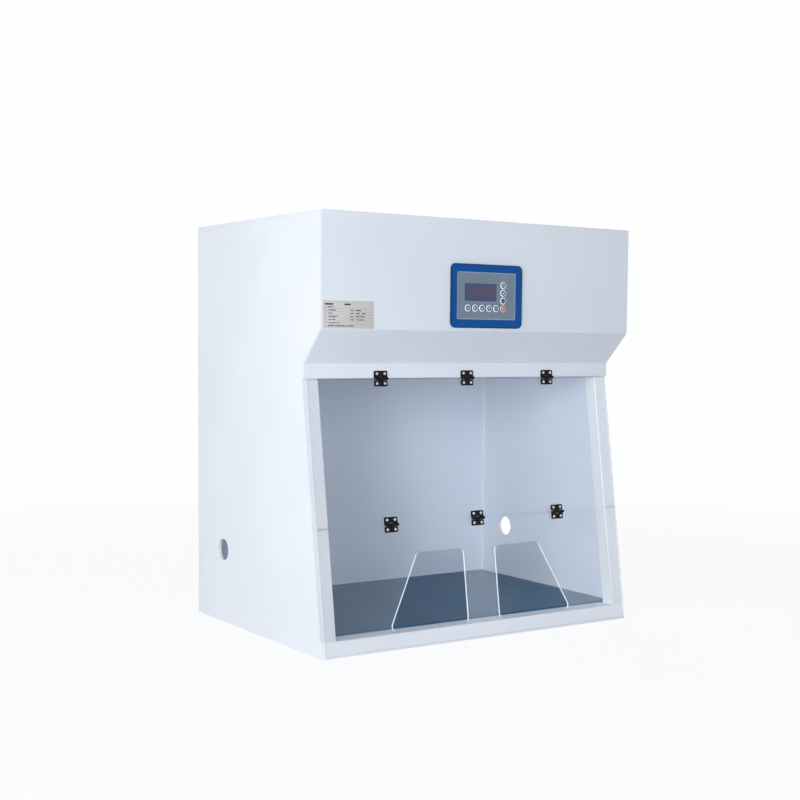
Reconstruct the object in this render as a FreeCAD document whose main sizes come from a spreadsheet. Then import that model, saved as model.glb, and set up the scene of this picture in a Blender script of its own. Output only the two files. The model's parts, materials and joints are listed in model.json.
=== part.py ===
import FreeCAD, Part
import math
import os
import re
import Sketcher
from FreeCAD import Vector

# Ductless fume hood, millimetres. X runs to the right as seen from the front, Y to the back, Z up.
# The origin is at the middle of the footprint, on the bench.

os.makedirs("parts", exist_ok=True)
doc = FreeCAD.newDocument("ductless_fume_hood")

# Driving sizes
SIZES = {
    # cabinet
    "width": 1000, "height": 1105, "body_depth": 700, "board": 8,
    "fascia_height": 290, "chin_drop": 85, "chin_setback": 83, "rail_height": 38, "sash_tilt": 8.5,
    "post_width": 40, "post_depth": 40, "sill_height": 41, "ledge_depth": 50,
    "liner": 5, "duct_gap": 32, "shelf_rise": 8,
    "cable_hole_diameter": 60, "cable_hole_height": 203, "cable_hole_inset": 162,
    # worktop
    "worktop_thickness": 13, "worktop_rise": 4, "worktop_chamfer": 1.5, "bearer_width": 30,
    "bearer_pitch": 380, "bearer_margin": 12,
    # sash
    "sash_thickness": 5, "sash_gap": 0.3, "sash_side_inset": 5, "seam_gap": 2, "hinge_offset": 5,
    "sash_foot_gap": 6.6, "lower_sash_length": 315, "sash_corner": 3,
    "hole_drop": 77, "hole_foot_margin": 40, "hole_inner": 52, "hole_outer_top": 200, "hole_outer_foot": 302,
    "hole_corner": 15,
    # hinges
    "hinge_pitch": 276, "hinge_width": 40, "leaf_length": 20, "leaf_thickness": 2.5, "leaf_corner": 4,
    "knuckle_radius": 4.2, "knuckle_length": 14, "knuckle_gap": 0.4, "pin_radius": 1.5, "pin_clearance": 0.05,
    "pin_stub": 1.5, "hinge_screw_pitch": 24, "hinge_screw_row": 12.5, "hinge_screw_radius": 2,
    "hinge_screw_length": 6.5, "hinge_head_radius": 4, "hinge_head_height": 1.2, "screw_clearance": 0.05,
    # control panel
    "panel_rise": 92, "bezel_width": 232.5, "bezel_height": 166.5, "bezel_thickness": 6, "bezel_corner": 14,
    "bezel_edge": 2, "face_width": 197, "face_height": 126, "face_corner": 6, "face_thickness": 2,
    "face_inset": 1, "face_lip": 5, "display_x": -21.6, "display_rise": 10, "display_width": 103,
    "display_height": 45, "display_proud": 0.4,
    "key_radius": 9.2, "key_clearance": 0.25, "key_proud": 1.6, "key_flange": 0.8, "key_flange_thickness": 1,
    "key_dome": 0.8, "key_row_x": -64.2, "key_row_drop": 31.5, "key_row_gap": 3.1, "key_column_gap": 0.4,
    "key_gap": 0.3, "key_switch_gap": 0.7,
    "cutout_width": 180, "cutout_height": 108, "box_wall": 1.5, "box_depth": 42, "box_clearance": 0.5,
    "board_thickness": 1.6, "switch_radius": 3,
    # lamp in the ceiling of the chamber
    "lamp_length": 600, "lamp_width": 60, "lamp_height": 30, "lamp_rim": 10, "lamp_sheet": 1.5,
    "lamp_setback": 60, "lamp_clearance": 12, "diffuser_thickness": 3, "led_strip_width": 20,
    "led_pitch": 28, "led_size": 5, "led_height": 1,
    # filters
    "filter_width": 700, "filter_rim": 30, "filter_back_gap": 15, "prefilter_height": 20,
    "pleat_pitch": 20, "pleat_depth": 12, "carbon_height": 120, "case_wall": 3, "case_bar": 8,
    "case_clearance": 0.5, "plenum_height": 50, "partition_gap": 6,
    # fan
    "impeller_radius": 125, "impeller_height": 55, "blade_count": 7, "blade_thickness": 2.5,
    "blade_inner_radius": 82, "fan_plate": 3, "throat_radius": 88, "bell_radius": 25, "ring_flange": 22,
    "ring_sheet": 2, "ring_collar": 5, "ring_gap": 2, "ring_overlap": 5, "hub_radius": 20, "hub_height": 16,
    "shaft_radius": 6, "shaft_clearance": 0.05, "motor_radius": 46, "motor_height": 46, "motor_gap": 5,
    "motor_edge": 4, "motor_rim": 6, "motor_rim_height": 8, "blade_sweep": 40, "blade_curve": 0.6,
    "bridge_sheet": 3, "bridge_width": 80, "bridge_reach": 150, "bridge_foot": 25,
    # exhaust slots and cover screws
    "slot_length": 150, "slot_width": 8, "slot_pitch": 20, "slot_count": 12, "slot_bank": 110,
    "cover_screw_radius": 1.7, "cover_screw_length": 22, "cover_screw_margin": 70, "cover_screw_rows": 4,
    # power inlet on the back
    "inlet_inset": 170, "inlet_drop": 97, "inlet_width": 48, "inlet_tall": 28, "inlet_flange": 2.5,
    "inlet_body_width": 30, "inlet_body_tall": 22, "inlet_depth": 28, "inlet_socket_width": 24,
    "inlet_socket_tall": 16.5, "inlet_socket_depth": 18, "inlet_pin": 4, "inlet_clearance": 0.2,
}

# Lines and levels that follow from the sizes
LINES = {
    "half_width": "width / 2",
    "inner_x": "width / 2 - board",
    "inlet_x": "width / 2 - inlet_inset",
    "chin_top_z": "height - fascia_height",
    "chin_foot_z": "chin_top_z - chin_drop",
    "rail_foot_z": "chin_foot_z - rail_height",
    "axis_z": "rail_foot_z - seam_gap / 2",
    "axis_setback": "chin_setback - hinge_offset",
    "sash_run": "(axis_z - sash_foot_gap) / cos(sash_tilt)",
    "upper_sash_pitch": "sash_run - lower_sash_length",
    "hole_height": "lower_sash_length - hole_drop - hole_foot_margin",
    "toe_reach": "sash_run * sin(sash_tilt) - hinge_offset * cos(sash_tilt) - axis_setback",
    "fascia_y": "(toe_reach - body_depth - inlet_flange) / 2",
    "back_y": "fascia_y + body_depth",
    "rail_y": "fascia_y + chin_setback",
    "axis_y": "fascia_y + axis_setback",
    "chin_mitre": "board * tan(atan(chin_setback / chin_drop) / 2)",
    "slope": "tan(sash_tilt)",
    "board_y": "board / cos(sash_tilt)",
    "return_y": "post_depth / cos(sash_tilt)",
    "frame_foot_y": "axis_y - axis_z * slope + (hinge_offset + sash_thickness + sash_gap) / cos(sash_tilt)",
    "ledge_back_y": "frame_foot_y + sill_height * slope + ledge_depth",
    "seam_y": "axis_y - upper_sash_pitch * sin(sash_tilt)",
    "seam_z": "axis_z - upper_sash_pitch * cos(sash_tilt)",
    "wall_y": "back_y - board - duct_gap - liner",
    "worktop_z": "sill_height + worktop_rise",
    "worktop_foot_z": "worktop_z - worktop_thickness",
    "shelf_z": "rail_foot_z + shelf_rise",
    "shelf_top_z": "shelf_z + board",
    "lamp_y": "rail_y + board + lamp_setback",
    "diffuser_top_z": "shelf_top_z + diffuser_thickness",
    "partition_y": "lamp_y + lamp_width / 2 + lamp_rim + lamp_clearance",
    "filter_depth": "back_y - filter_back_gap - partition_gap - partition_y - 2 * board",
    "filter_y": "back_y - board - filter_back_gap - filter_depth / 2",
    "carbon_z": "shelf_top_z + prefilter_height",
    "deck_z": "carbon_z + carbon_height + plenum_height",
    "deck_top_z": "deck_z + board",
    "fan_y": "(partition_y + back_y) / 2",
    "throat_top_z": "deck_top_z + bell_radius + ring_collar",
    "impeller_z": "throat_top_z - ring_overlap",
    "backplate_z": "impeller_z + impeller_height - fan_plate",
    "motor_z": "impeller_z + impeller_height + motor_gap",
    "bridge_z": "motor_z + motor_height",
    "panel_z": "chin_top_z + panel_rise",
    "face_front_y": "fascia_y - bezel_thickness + face_inset",
    "face_back_y": "face_front_y + face_thickness",
    "key_back_y": "face_back_y + key_gap + key_flange_thickness",
    "key_row_pitch": "2 * (key_radius + key_flange) + key_row_gap",
    "key_column_pitch": "2 * (key_radius + key_flange) + key_column_gap",
    "board_front_y": "fascia_y + box_wall",
    "display_z": "panel_z + display_rise",
    "inlet_z": "height - board - inlet_drop",
    "cover_head_radius": "0.85 * board / 2",
    "cover_screw_pitch": "(body_depth - board - 2 * cover_screw_margin) / (cover_screw_rows - 1)",
}


def make_sheet(name, rows, formula):
    """A spreadsheet with one named cell for each entry."""
    sheet = doc.addObject("Spreadsheet::Sheet", name)
    for row, (alias, value) in enumerate(rows.items(), 1):
        sheet.set("A%d" % row, alias)
        sheet.set("B%d" % row, formula(value))
        sheet.setAlias("B%d" % row, alias)
        if name == "lines":
            doc.recompute()
    doc.recompute()
    return sheet


def linked(text):
    """The text with each size or line written as a reference to its sheet."""
    def sheet_name(match):
        word = match.group(0)
        if word in SIZES:
            return "dims." + word
        return "lines." + word if word in LINES else word
    return re.sub(r"[a-z_]+", sheet_name, str(text))


dims = make_sheet("dims", SIZES, str)
lines = make_sheet("lines", LINES, lambda text: "=" + linked(text))


def value(text):
    """The present number of an expression on the sizes."""
    return float(dims.evalExpression(linked(text)))


def bind(item, prop, text):
    item.setExpression(prop, linked(text))


def front(level):
    """Y of the outer face of the leaning front at a level, and of its inner face."""
    return "(frame_foot_y + (%s) * slope)" % level


def front_inside(level):
    return "(frame_foot_y + board_y + (%s) * slope)" % level


# Sketches and features

ORIGIN = {"XY": "XY_Plane", "XZ": "XZ_Plane", "YZ": "YZ_Plane"}


def new_body(label):
    body = doc.addObject("PartDesign::Body", label)
    body.Label = label
    return body


def new_sketch(body, name, plane, offset="0"):
    sketch = body.newObject("Sketcher::SketchObject", name)
    role = ORIGIN[plane]
    support = next(item for item in body.Origin.OriginFeatures if item.Role == role)
    sketch.AttachmentSupport = [(support, "")]
    sketch.MapMode = "FlatFace"
    bind(sketch, "AttachmentOffset.Base.z", offset)
    return sketch


def fix_point(sketch, geometry, point, x, y):
    for kind, text in (("DistanceX", x), ("DistanceY", y)):
        index = sketch.addConstraint(Sketcher.Constraint(kind, -1, 1, geometry, point, value(text)))
        bind(sketch, "Constraints[%d]" % index, text)


def polygon(sketch, corners):
    """A closed outline whose corners are given as expressions."""
    first = sketch.GeometryCount
    count = len(corners)
    spots = [Vector(value(x), value(y), 0) for x, y in corners]
    for i in range(count):
        sketch.addGeometry(Part.LineSegment(spots[i], spots[(i + 1) % count]), False)
    for i in range(count):
        sketch.addConstraint(Sketcher.Constraint("Coincident", first + i, 2, first + (i + 1) % count, 1))
    for i, (x, y) in enumerate(corners):
        fix_point(sketch, first + i, 1, x, y)


def rectangle(sketch, x0, x1, y0, y1):
    polygon(sketch, [(x0, y0), (x1, y0), (x1, y1), (x0, y1)])


def centred(sketch, x, y, wide, tall):
    rectangle(sketch, "%s - (%s) / 2" % (x, wide), "%s + (%s) / 2" % (x, wide),
              "%s - (%s) / 2" % (y, tall), "%s + (%s) / 2" % (y, tall))


def circle(sketch, x, y, radius):
    middle = Vector(value(x), value(y), 0)
    index = sketch.addGeometry(Part.Circle(middle, Vector(0, 0, 1), value(radius)), False)
    bind(sketch, "Constraints[%d]" % sketch.addConstraint(
        Sketcher.Constraint("Radius", index, value(radius))), radius)
    fix_point(sketch, index, 3, x, y)


def extent(sketch, plane, start, end):
    """Sets the sketch so that its normal side runs from start to end on the axis across the plane."""
    if plane == "XZ":
        bind(sketch, "AttachmentOffset.Base.z", "-(%s)" % end)
    else:
        bind(sketch, "AttachmentOffset.Base.z", start)


def pad(body, name, plane, start, end, draw):
    sketch = new_sketch(body, name + "_outline", plane)
    extent(sketch, plane, start, end)
    draw(sketch)
    feature = body.newObject("PartDesign::Pad", name)
    feature.Profile = sketch
    bind(feature, "Length", "(%s) - (%s)" % (end, start))
    return feature


def cut(body, name, plane, start, end, draw):
    sketch = new_sketch(body, name + "_outline", plane)
    extent(sketch, plane, start, end)
    draw(sketch)
    feature = body.newObject("PartDesign::Pocket", name)
    feature.Profile = sketch
    feature.Reversed = True
    bind(feature, "Length", "(%s) - (%s)" % (end, start))
    return feature


def revolve(body, name, corners, kind="PartDesign::Revolution", plane="XZ"):
    """A full turn of an outline about the vertical axis of its sketch."""
    sketch = new_sketch(body, name + "_outline", plane)
    polygon(sketch, corners)
    feature = body.newObject(kind, name)
    feature.Profile = sketch
    feature.ReferenceAxis = (sketch, ["V_Axis"])
    feature.Angle = 360
    return feature


def pattern(body, name, original, sketch, axis, count, step):
    feature = body.newObject("PartDesign::LinearPattern", name)
    feature.Originals = [original]
    feature.Direction = (sketch, [axis])
    bind(feature, "Length", "(%s) * (%s - 1)" % (step, count))
    bind(feature, "Occurrences", count)
    body.Tip = feature
    return feature


def soften(body, name, kind, prop, size, wanted):
    """A fillet or chamfer on the edges of the body that the test picks."""
    doc.recompute()
    base = body.Tip
    picked = ["Edge%d" % (i + 1) for i, edge in enumerate(base.Shape.Edges) if wanted(edge)]
    feature = body.newObject(kind, name)
    feature.Base = (base, picked)
    bind(feature, prop, size)
    return feature


def fillet(body, name, size, wanted):
    return soften(body, name, "PartDesign::Fillet", "Radius", size, wanted)


def chamfer(body, name, size, wanted):
    return soften(body, name, "PartDesign::Chamfer", "Size", size, wanted)


def along(edge, axis):
    """True for a straight edge that runs along the axis."""
    if not isinstance(edge.Curve, Part.Line):
        return False
    return abs(abs(edge.Curve.Direction.dot(axis)) - 1) < 1e-6


X_AXIS, Y_AXIS, Z_AXIS = Vector(1, 0, 0), Vector(0, 1, 0), Vector(0, 0, 1)


def at_level(edge, axis, level):
    """True where both ends and the middle of an edge lie at one level of the axis."""
    spots = [edge.valueAt(edge.FirstParameter), edge.valueAt(edge.LastParameter), edge.CenterOfMass]
    return all(abs(spot.dot(axis) - level) < 1e-3 for spot in spots)


def box(label, x0, x1, y0, y1, z0, z1):
    item = doc.addObject("Part::Box", label)
    item.Label = label
    for prop, low, high in (("Length", x0, x1), ("Width", y0, y1), ("Height", z0, z1)):
        bind(item, prop, "(%s) - (%s)" % (high, low))
    for axis, low in (("x", x0), ("y", y0), ("z", z0)):
        bind(item, "Placement.Base." + axis, low)
    return item


def lean(item, y, z):
    """Puts a piece that is drawn upright about a hinge axis at rest on the leaning front."""
    item.setExpression("Placement", linked(
        "create(<<placement>>; create(<<vector>>; 0; %s; %s); "
        "create(<<rotation>>; create(<<vector>>; -1; 0; 0); sash_tilt))" % (y, z)))


def move(item, x, y, z):
    for axis, text in (("x", x), ("y", y), ("z", z)):
        bind(item, "Placement.Base." + axis, text)


# Cabinet

def side_panel(label, x0, x1, side):
    body = new_body(label)

    def outline(sketch):
        polygon(sketch, [
            (front_inside("0"), "0"), ("back_y - board", "0"), ("back_y - board", "height - board"),
            ("fascia_y + board", "height - board"), ("fascia_y + board", "chin_top_z + chin_mitre"),
            ("rail_y + board", "chin_foot_z + chin_mitre"), ("rail_y + board", "rail_foot_z"),
            (front_inside("rail_foot_z"), "rail_foot_z")])
        circle(sketch, "back_y - cable_hole_inset", "cable_hole_height", "cable_hole_diameter / 2")

    pad(body, "board_" + label, "YZ", x0, x1, outline)

    def screw_bores(sketch):
        for row in range(int(SIZES["cover_screw_rows"])):
            circle(sketch, "%d * (half_width - board / 2)" % side, cover_screw_y(row),
                   "cover_screw_radius + screw_clearance")

    cut(body, "screw_bores_" + label, "XY", "height - cover_screw_length - 2", "height - board", screw_bores)
    return body


def cover_screw_y(row):
    return "fascia_y + board + cover_screw_margin + %d * cover_screw_pitch" % row


def front_post(label, side):
    """A strip in the leaning front with a return along the side of the opening."""
    body = new_body(label)
    outer, inner = "%d * half_width" % side, "%d * (half_width - post_width)" % side
    inside = "%d * (half_width - post_width + board)" % side
    strip = (outer, inner) if side < 0 else (inner, outer)
    web = (inside, inner) if side < 0 else (inner, inside)

    def face(sketch):
        polygon(sketch, [(front("sill_height"), "sill_height"), (front_inside("sill_height"), "sill_height"),
                         (front_inside("rail_foot_z"), "rail_foot_z"), (front("rail_foot_z"), "rail_foot_z")])

    def leg(sketch):
        polygon(sketch, [(front("sill_height"), "sill_height"),
                         (front("sill_height") + " + return_y", "sill_height"),
                         (front("rail_foot_z") + " + return_y", "rail_foot_z"),
                         (front("rail_foot_z"), "rail_foot_z")])

    pad(body, "strip_" + label, "YZ", strip[0], strip[1], face)
    pad(body, "return_" + label, "YZ", web[0], web[1], leg)
    return body


def front_sill():
    body = new_body("front_sill")

    def face(sketch):
        polygon(sketch, [(front("0"), "0"), (front_inside("0"), "0"),
                         (front_inside("sill_height"), "sill_height"), (front("sill_height"), "sill_height")])

    def ledge(sketch):
        low = "sill_height - board"
        polygon(sketch, [(front(low), low), ("ledge_back_y", low), ("ledge_back_y", "sill_height"),
                         (front("sill_height"), "sill_height")])

    pad(body, "sill_face", "YZ", "-half_width", "half_width", face)
    pad(body, "sill_ledge", "YZ", "-inner_x", "inner_x", ledge)
    return body


def hinge_x(place):
    return "%d * hinge_pitch" % place


def fascia():
    """One bent board: vertical face, sloping chin and the rail that carries the sash."""
    body = new_body("fascia")

    def bends(sketch):
        polygon(sketch, [
            ("fascia_y", "height"), ("fascia_y", "chin_top_z"), ("rail_y", "chin_foot_z"),
            ("rail_y", "rail_foot_z"), ("rail_y + board", "rail_foot_z"),
            ("rail_y + board", "chin_foot_z + chin_mitre"),
            ("fascia_y + board", "chin_top_z + chin_mitre"), ("fascia_y + board", "height")])

    def cutout(sketch):
        centred(sketch, "0", "panel_z", "cutout_width", "cutout_height")

    def rail_holes(sketch):
        for place in (-1, 0, 1):
            for side in (-1, 1):
                circle(sketch, "%s + %d * hinge_screw_pitch / 2" % (hinge_x(place), side),
                       "axis_z + hinge_screw_row", "hinge_screw_radius + screw_clearance")

    pad(body, "bent_board", "YZ", "-half_width", "half_width", bends)
    cut(body, "control_cutout", "XZ", "fascia_y", "fascia_y + board", cutout)
    cut(body, "rail_holes", "XZ", "rail_y", "rail_y + board", rail_holes)
    return body


def back_panel():
    body = new_body("back_panel")

    def outline(sketch):
        rectangle(sketch, "-half_width", "half_width", "0", "height - board")
        centred(sketch, "inlet_x", "inlet_z", "inlet_body_width", "inlet_body_tall")

    pad(body, "back_board", "XZ", "back_y - board", "back_y", outline)
    return body


def top_cover():
    """Screwed board with two banks of exhaust slots above the fan."""
    body = new_body("top_cover")

    def outline(sketch):
        rectangle(sketch, "-half_width", "half_width", "fascia_y + board", "back_y")

    pad(body, "cover_board", "XY", "height - board", "height", outline)
    for bank, side in (("left", -1), ("right", 1)):
        middle = "%d * slot_bank" % side

        def slot(sketch):
            first = "fan_y - slot_pitch * (slot_count - 1) / 2"
            rectangle(sketch, middle + " - slot_length / 2", middle + " + slot_length / 2",
                      first + " - slot_width / 2", first + " + slot_width / 2")

        feature = cut(body, "slot_" + bank, "XY", "height - board", "height", slot)
        pattern(body, "slots_" + bank, feature, feature.Profile[0], "V_Axis", "slot_count", "slot_pitch")

    def screw_holes(sketch):
        for side in (-1, 1):
            for row in range(int(SIZES["cover_screw_rows"])):
                circle(sketch, "%d * (half_width - board / 2)" % side, cover_screw_y(row),
                       "cover_screw_radius + screw_clearance")

    cut(body, "cover_holes", "XY", "height - board", "height", screw_holes)
    top = value("height")
    rim = value("cover_screw_radius + screw_clearance")
    chamfer(body, "countersinks", "cover_head_radius - cover_screw_radius", lambda edge: isinstance(
        edge.Curve, Part.Circle) and abs(edge.Curve.Radius - rim) < 1e-6 and at_level(edge, Z_AXIS, top))
    return body


def filter_shelf():
    """Ceiling of the chamber, open below the filters and the lamp."""
    body = new_body("filter_shelf")

    def outline(sketch):
        rectangle(sketch, "-inner_x", "inner_x", "rail_y + board", "back_y - board")
        centred(sketch, "0", "filter_y", "filter_width - 2 * filter_rim", "filter_depth - 2 * filter_rim")
        centred(sketch, "0", "lamp_y", "lamp_length", "lamp_width")

    pad(body, "shelf_board", "XY", "shelf_z", "shelf_top_z", outline)
    return body


def worktop():
    body = new_body("worktop")

    def outline(sketch):
        rectangle(sketch, "-inner_x", "inner_x", "ledge_back_y", "wall_y")

    pad(body, "worktop_board", "XY", "worktop_foot_z", "worktop_z", outline)
    edge_y, top = value("ledge_back_y"), value("worktop_z")
    chamfer(body, "worktop_front_edge", "worktop_chamfer",
            lambda edge: at_level(edge, Y_AXIS, edge_y) and at_level(edge, Z_AXIS, top))
    return body


def worktop_bearers():
    strips = []
    for place in (-1, 0, 1):
        middle = "%d * bearer_pitch" % place
        strips.append(box("bearer_%d" % (place + 2), middle + " - bearer_width / 2",
                          middle + " + bearer_width / 2", "ledge_back_y + bearer_margin",
                          "wall_y - bearer_margin", "board", "worktop_foot_z"))
    group = doc.addObject("Part::Compound", "worktop_bearers")
    group.Label = "worktop_bearers"
    group.Links = strips
    return group


# Filters, lamp and fan

def prefilter():
    """Framed mat whose open side is folded in pleats."""
    body = new_body("prefilter")
    half_run = "(filter_width / 2 - filter_rim)"

    def outline(sketch):
        centred(sketch, "0", "filter_y", "filter_width", "filter_depth")

    def groove(sketch):
        left = "-" + half_run
        polygon(sketch, [(left, "shelf_top_z"), (left + " + pleat_pitch - 2", "shelf_top_z"),
                         (left + " + pleat_pitch / 2 - 1", "shelf_top_z + pleat_depth")])

    pad(body, "mat", "XY", "shelf_top_z", "carbon_z", outline)
    pleat = cut(body, "pleat", "XZ", "filter_y - filter_depth / 2 + filter_rim",
                "filter_y + filter_depth / 2 - filter_rim", groove)
    pattern(body, "pleats", pleat, pleat.Profile[0], "H_Axis",
            "floor(2 * %s / pleat_pitch)" % half_run, "pleat_pitch")
    return body


def carbon_filter_case():
    """Four walls and, at the bottom and the top, bars that hold the bed."""
    body = new_body("carbon_filter_case")

    def walls(sketch):
        centred(sketch, "0", "filter_y", "filter_width", "filter_depth")
        centred(sketch, "0", "filter_y", "filter_width - 2 * case_wall", "filter_depth - 2 * case_wall")

    def long_bars(sketch):
        for place in (-1, 0, 1):
            centred(sketch, "0", "(filter_y + %d * filter_depth / 4)" % place,
                    "filter_width - case_wall", "case_bar")

    def cross_bars(sketch):
        for place in (-2, -1, 0, 1, 2):
            centred(sketch, "(%d * filter_width / 6)" % place, "filter_y", "case_bar",
                    "filter_depth - case_wall")

    pad(body, "case_walls", "XY", "carbon_z", "carbon_z + carbon_height", walls)
    for name, low in (("foot", "carbon_z"), ("head", "carbon_z + carbon_height - case_wall")):
        pad(body, name + "_long_bars", "XY", low, low + " + case_wall", long_bars)
        pad(body, name + "_cross_bars", "XY", low, low + " + case_wall", cross_bars)
    return body


def carbon_bed():
    across = "(filter_width / 2 - case_wall - case_clearance)"
    deep = "(filter_depth / 2 - case_wall - case_clearance)"
    return box("carbon_bed", "-" + across, across, "filter_y - " + deep, "filter_y + " + deep,
               "carbon_z + case_wall", "carbon_z + carbon_height - case_wall - case_clearance")


def lamp_tray():
    """Folded tray with a flange that clamps the diffuser to the shelf."""
    body = new_body("lamp_tray")

    def flange(sketch):
        centred(sketch, "0", "lamp_y", "lamp_length + 2 * lamp_rim", "lamp_width + 2 * lamp_rim")

    def shell(sketch):
        centred(sketch, "0", "lamp_y", "lamp_length", "lamp_width")

    def inside(sketch):
        centred(sketch, "0", "lamp_y", "lamp_length - 2 * lamp_sheet", "lamp_width - 2 * lamp_sheet")

    pad(body, "tray_flange", "XY", "diffuser_top_z", "diffuser_top_z + lamp_sheet", flange)
    pad(body, "tray_shell", "XY", "diffuser_top_z", "diffuser_top_z + lamp_height", shell)
    cut(body, "tray_inside", "XY", "diffuser_top_z", "diffuser_top_z + lamp_height - lamp_sheet", inside)
    return body


def lamp_diffuser():
    return box("lamp_diffuser", "-lamp_length / 2 - lamp_rim", "lamp_length / 2 + lamp_rim",
               "lamp_y - lamp_width / 2 - lamp_rim", "lamp_y + lamp_width / 2 + lamp_rim",
               "shelf_top_z", "diffuser_top_z")


def led_strip():
    body = new_body("led_strip")
    top = "diffuser_top_z + lamp_height - lamp_sheet"
    foot = top + " - board_thickness"
    count = "floor((lamp_length - 2 * led_pitch) / led_pitch)"
    length = "(%s * led_pitch)" % count

    def strip(sketch):
        centred(sketch, "0", "lamp_y", length, "led_strip_width")

    def first_led(sketch):
        centred(sketch, "(led_pitch - %s) / 2" % length, "lamp_y", "led_size", "led_size")

    pad(body, "strip_board", "XY", foot, top, strip)
    led = pad(body, "led", "XY", foot + " - led_height", foot, first_led)
    pattern(body, "leds", led, led.Profile[0], "H_Axis", count, "led_pitch")
    return body


def fan_deck():
    body = new_body("fan_deck")

    def outline(sketch):
        rectangle(sketch, "-inner_x", "inner_x", "partition_y + board", "back_y - board")
        circle(sketch, "0", "fan_y", "throat_radius + bell_radius")

    pad(body, "deck_board", "XY", "deck_z", "deck_top_z", outline)
    return body


def inlet_ring():
    """Spun bell mouth that leads the air from the plenum into the impeller."""
    body = new_body("inlet_ring")
    rim = "throat_radius + bell_radius + ring_flange"
    revolve(body, "ring_section", [
        ("throat_radius", "deck_top_z"), (rim, "deck_top_z"), (rim, "deck_top_z + ring_sheet"),
        ("throat_radius + ring_sheet", "deck_top_z + ring_sheet"),
        ("throat_radius + ring_sheet", "throat_top_z"), ("throat_radius", "throat_top_z")])

    def circle_at(radius, level):
        radius, level = value(radius), value(level)
        return lambda edge: isinstance(edge.Curve, Part.Circle) and abs(
            edge.Curve.Radius - radius) < 1e-3 and at_level(edge, Z_AXIS, level)

    fillet(body, "bell_inside", "bell_radius - ring_sheet",
           circle_at("throat_radius + ring_sheet", "deck_top_z + ring_sheet"))
    fillet(body, "bell_outside", "bell_radius", circle_at("throat_radius", "deck_top_z"))
    bind(body, "Placement.Base.y", "fan_y")
    return body


def fan_impeller():
    """Backplate with hub, seven backward-curved blades and a conical shroud."""
    body = new_body("fan_impeller")
    collar = "(throat_radius + ring_gap + ring_sheet)"
    shroud_z = "(impeller_z + ring_overlap)"
    outer_z = "(backplate_z - impeller_height / 2)"
    revolve(body, "backplate", [
        ("shaft_radius + shaft_clearance", "backplate_z + fan_plate - hub_height"),
        ("hub_radius", "backplate_z + fan_plate - hub_height"), ("hub_radius", "backplate_z"),
        ("impeller_radius", "backplate_z"), ("impeller_radius", "backplate_z + fan_plate"),
        ("shaft_radius + shaft_clearance", "backplate_z + fan_plate")])
    sketch = new_sketch(body, "blade_section", "XY")
    bind(sketch, "AttachmentOffset.Base.z", "impeller_z")
    inner, outer = value("blade_inner_radius"), value("impeller_radius")
    thick = value("blade_thickness") / 2

    def spot(radius, turn, side):
        angle = math.radians(turn)
        along_radius = Vector(math.cos(angle), math.sin(angle), 0)
        return along_radius * radius + Vector(-along_radius.y, along_radius.x, 0) * side * thick

    sweep = (0, -SIZES["blade_sweep"] * (1 - SIZES["blade_curve"]), -SIZES["blade_sweep"])
    radii = (inner, (inner + outer) / 2, outer)
    for side in (-1, 1):
        arc = Part.Arc(*[spot(radius, turn, side) for radius, turn in zip(radii, sweep)])
        sketch.addGeometry(arc, False)
    for end in (0, 2):
        sketch.addGeometry(Part.LineSegment(spot(radii[end], sweep[end], -1),
                                            spot(radii[end], sweep[end], 1)), False)
    blade = body.newObject("PartDesign::Pad", "blade")
    blade.Profile = sketch
    bind(blade, "Length", "backplate_z - impeller_z")
    ring = body.newObject("PartDesign::PolarPattern", "blades")
    ring.Originals = [blade]
    ring.Axis = (sketch, ["N_Axis"])
    ring.Angle = 360
    bind(ring, "Occurrences", "blade_count")
    body.Tip = ring
    low = "(impeller_z - fan_plate)"
    revolve(body, "shroud_underside", [
        ("0", low), ("impeller_radius + fan_plate", low), ("impeller_radius + fan_plate", outer_z),
        ("impeller_radius", outer_z), (collar, shroud_z), ("0", shroud_z)], "PartDesign::Groove")
    revolve(body, "shroud", [
        (collar, "impeller_z"), (collar + " + ring_sheet", "impeller_z"),
        (collar + " + ring_sheet", shroud_z), ("impeller_radius", outer_z),
        ("impeller_radius", outer_z + " + fan_plate"), (collar, shroud_z + " + fan_plate")])
    bind(body, "Placement.Base.y", "fan_y")
    return body


def fan_motor():
    body = new_body("fan_motor")
    revolve(body, "motor_case", [
        ("0", "backplate_z + fan_plate - hub_height"),
        ("shaft_radius", "backplate_z + fan_plate - hub_height"), ("shaft_radius", "motor_z"),
        ("motor_radius - motor_edge", "motor_z"), ("motor_radius", "motor_z + motor_edge"),
        ("motor_radius", "bridge_z - motor_rim_height"),
        ("motor_radius + motor_rim", "bridge_z - motor_rim_height"),
        ("motor_radius + motor_rim", "bridge_z"), ("0", "bridge_z")])
    bind(body, "Placement.Base.y", "fan_y")
    return body


def motor_bridge():
    """Folded strip that stands on the deck and carries the motor."""
    body = new_body("motor_bridge")
    reach, sheet, foot = "bridge_reach", "bridge_sheet", "bridge_foot"

    def hat(sketch):
        polygon(sketch, [
            ("-%s - %s" % (reach, foot), "deck_top_z"), ("-" + reach + " + " + sheet, "deck_top_z"),
            ("-" + reach + " + " + sheet, "bridge_z"), (reach + " - " + sheet, "bridge_z"),
            (reach + " - " + sheet, "deck_top_z"), ("%s + %s" % (reach, foot), "deck_top_z"),
            ("%s + %s" % (reach, foot), "deck_top_z + " + sheet), (reach, "deck_top_z + " + sheet),
            (reach, "bridge_z + " + sheet), ("-" + reach, "bridge_z + " + sheet),
            ("-" + reach, "deck_top_z + " + sheet), ("-%s - %s" % (reach, foot), "deck_top_z + " + sheet)])

    pad(body, "bridge_strip", "XZ", "fan_y - bridge_width / 2", "fan_y + bridge_width / 2", hat)
    return body


# Control panel

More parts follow.
